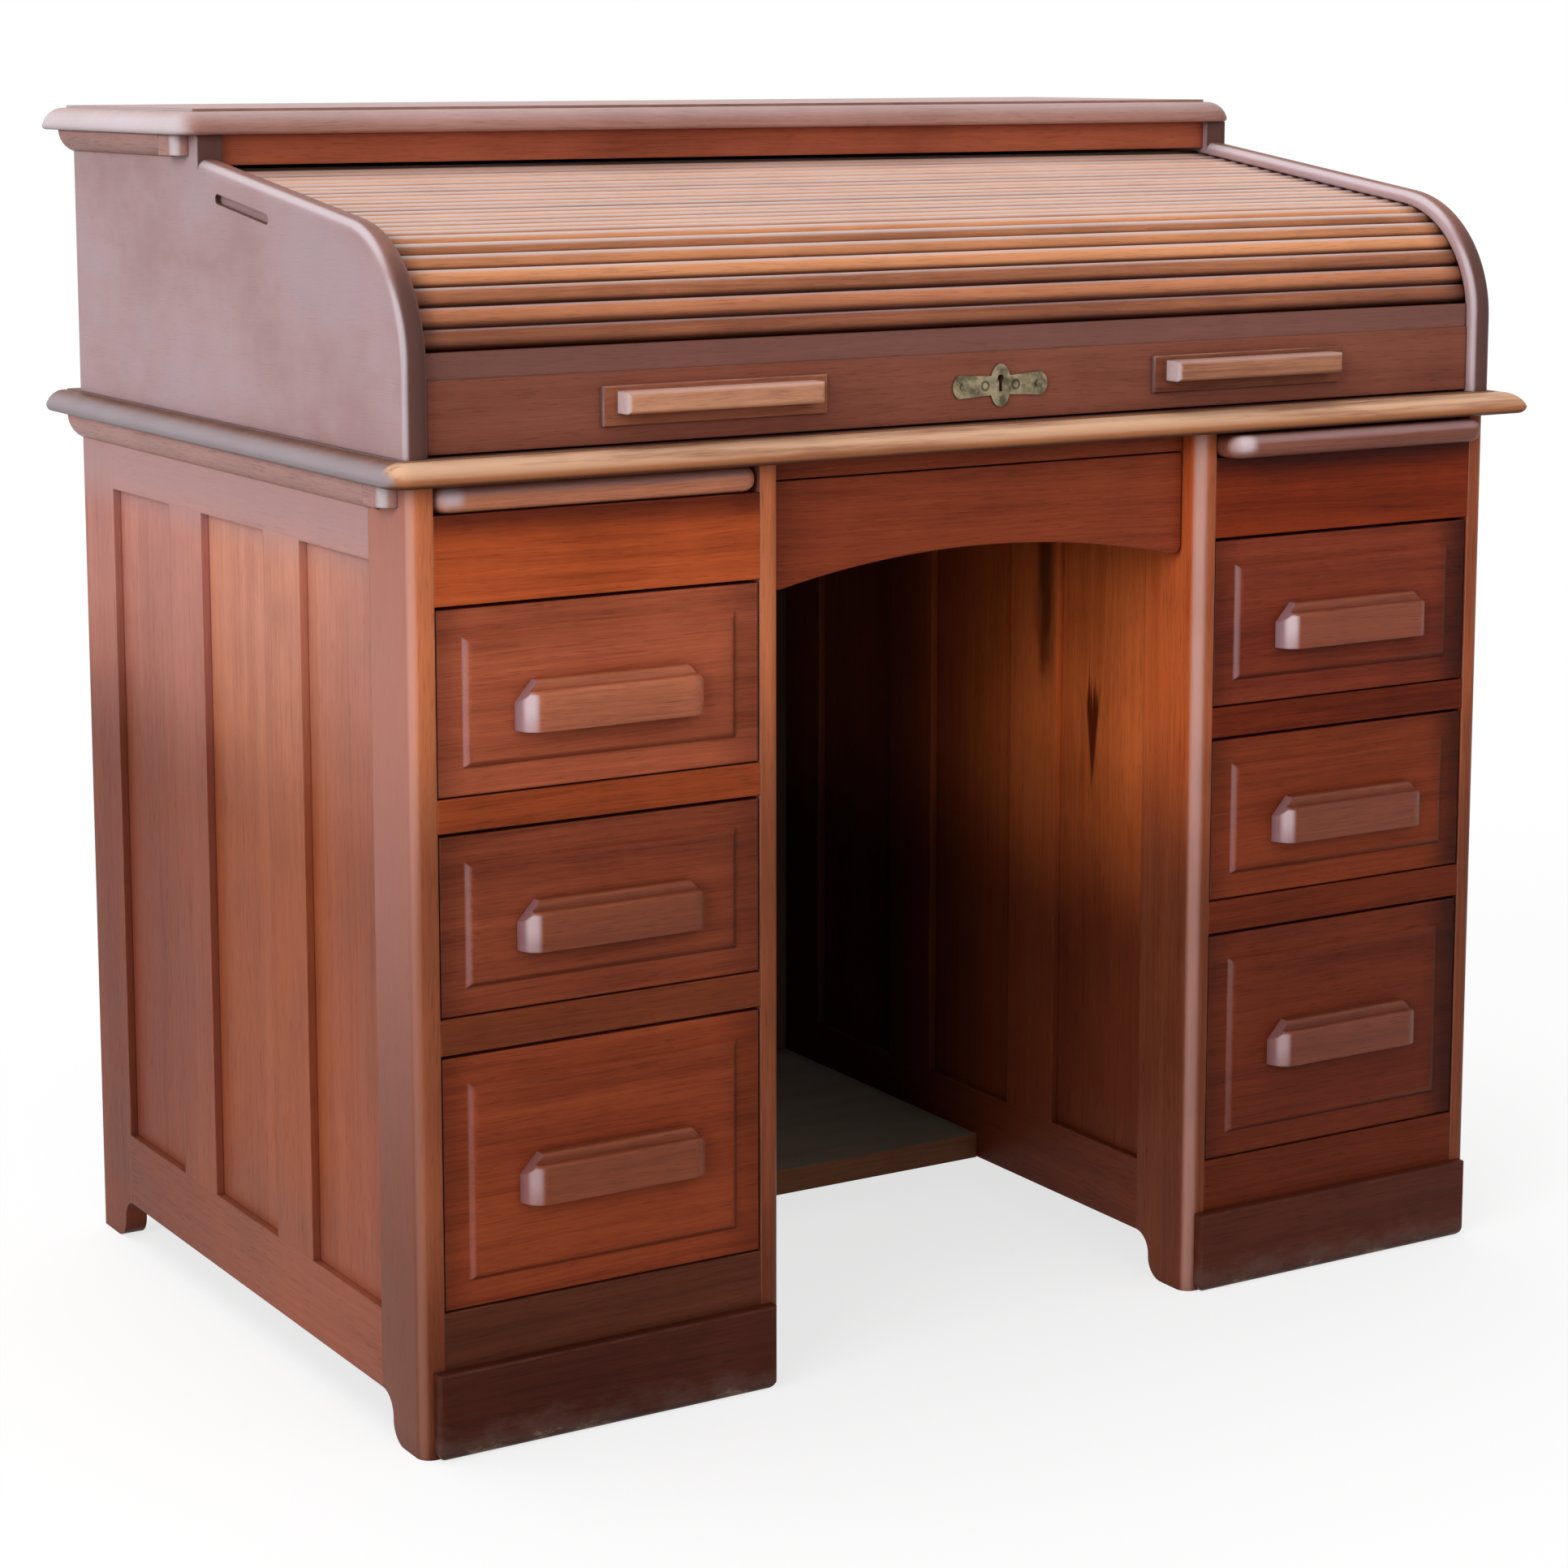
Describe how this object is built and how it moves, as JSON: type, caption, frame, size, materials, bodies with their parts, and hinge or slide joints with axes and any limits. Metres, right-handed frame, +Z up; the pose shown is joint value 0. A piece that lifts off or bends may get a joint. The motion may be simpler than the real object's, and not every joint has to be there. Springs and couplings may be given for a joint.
{
  "type": "tambour roll top desk",
  "caption": "Kneehole desk on two drawer pedestals with pull-out writing slides and a slatted tambour roll top over a pigeonhole space.",
  "frame": {"origin": "middle of the desk's footprint, on the floor", "axes": "+X to the right for someone facing the front, -Y out of the front towards the sitter, +Z up"},
  "size_m": [1.104, 0.714, 1.022],
  "materials": {
    "case_wood": "satin polish",
    "drawer_front_wood": "satin polish",
    "lining_wood": "bare planed",
    "back_wood": "dull stain",
    "brass": "aged dull",
    "canvas": "woven"
  },
  "bodies": {
    "carcass": {"left_front_stiles": "case_wood", "left_gable_frames": "case_wood", "left_gable_panels": "case_wood", "left_front_rails": "case_wood", "left_plinth": "case_wood", "left_drawer_runners": "lining_wood", "left_upper_gable": "case_wood", "right_front_stiles": "case_wood", "right_gable_frames": "case_wood", "right_gable_panels": "case_wood", "right_front_rails": "case_wood", "right_plinth": "case_wood", "right_drawer_runners": "lining_wood", "right_upper_gable": "case_wood", "writing_top": "case_wood", "side_mouldings": "case_wood", "kneehole_rail": "case_wood", "footboard": "case_wood", "cornice_board": "case_wood", "frieze_rail": "case_wood", "tambour_slats": "case_wood", "centre_drawer_runners": "lining_wood", "pigeonhole_gallery": "lining_wood", "back_panels": "back_wood", "upper_back_panel": "back_wood", "inner_back_panel": "back_wood", "strike_plate": "brass", "tambour_canvas": "canvas"},
    "left_top_drawer": {"left_top_drawer_front": "drawer_front_wood", "left_top_drawer_box": "lining_wood", "left_top_drawer_pull": "drawer_front_wood"},
    "left_middle_drawer": {"left_middle_drawer_front": "drawer_front_wood", "left_middle_drawer_box": "lining_wood", "left_middle_drawer_pull": "drawer_front_wood"},
    "left_bottom_drawer": {"left_bottom_drawer_front": "drawer_front_wood", "left_bottom_drawer_box": "lining_wood", "left_bottom_drawer_pull": "drawer_front_wood"},
    "right_top_drawer": {"right_top_drawer_front": "drawer_front_wood", "right_top_drawer_box": "lining_wood", "right_top_drawer_pull": "drawer_front_wood"},
    "right_middle_drawer": {"right_middle_drawer_front": "drawer_front_wood", "right_middle_drawer_box": "lining_wood", "right_middle_drawer_pull": "drawer_front_wood"},
    "right_bottom_drawer": {"right_bottom_drawer_front": "drawer_front_wood", "right_bottom_drawer_box": "lining_wood", "right_bottom_drawer_pull": "drawer_front_wood"},
    "centre_drawer": {"centre_drawer_front": "drawer_front_wood", "centre_drawer_box": "lining_wood"},
    "left_writing_board": {"left_writing_slide": "case_wood"},
    "right_writing_board": {"right_writing_slide": "case_wood"},
    "tambour_rail": {"tambour_lead_rail": "case_wood", "lift_handles": "case_wood", "escutcheon": "brass", "escutcheon_screws": "brass", "lock_case": "brass"},
    "lock_bolt": {"lock_bolt": "brass"}
  },
  "joints": [
    {"name": "left_top_drawer_slide", "type": "slide", "parent": "carcass", "child": "left_top_drawer", "axis": [0, -1, 0], "range_m": [0, 0.4]},
    {"name": "left_middle_drawer_slide", "type": "slide", "parent": "carcass", "child": "left_middle_drawer", "axis": [0, -1, 0], "range_m": [0, 0.4]},
    {"name": "left_bottom_drawer_slide", "type": "slide", "parent": "carcass", "child": "left_bottom_drawer", "axis": [0, -1, 0], "range_m": [0, 0.4]},
    {"name": "right_top_drawer_slide", "type": "slide", "parent": "carcass", "child": "right_top_drawer", "axis": [0, -1, 0], "range_m": [0, 0.4]},
    {"name": "right_middle_drawer_slide", "type": "slide", "parent": "carcass", "child": "right_middle_drawer", "axis": [0, -1, 0], "range_m": [0, 0.4]},
    {"name": "right_bottom_drawer_slide", "type": "slide", "parent": "carcass", "child": "right_bottom_drawer", "axis": [0, -1, 0], "range_m": [0, 0.4]},
    {"name": "centre_drawer_slide", "type": "slide", "parent": "carcass", "child": "centre_drawer", "axis": [0, -1, 0], "range_m": [0, 0.28]},
    {"name": "left_writing_slide_pull", "type": "slide", "parent": "carcass", "child": "left_writing_board", "axis": [0, -1, 0], "range_m": [0, 0.32]},
    {"name": "right_writing_slide_pull", "type": "slide", "parent": "carcass", "child": "right_writing_board", "axis": [0, -1, 0], "range_m": [-0.02, 0.3]},
    {"name": "tambour_roll", "type": "hinge", "parent": "carcass", "child": "tambour_rail", "pos_m": [0, -0.0744, 0.70287], "axis": [-1, 0, 0], "range_deg": [0, 82.5], "deforming": ["tambour_slats", "tambour_canvas"]},
    {"name": "lock_bolt_throw", "type": "slide", "parent": "tambour_rail", "child": "lock_bolt", "axis": [0, 0, -1], "range_m": [0, 0.01]}
  ]
}
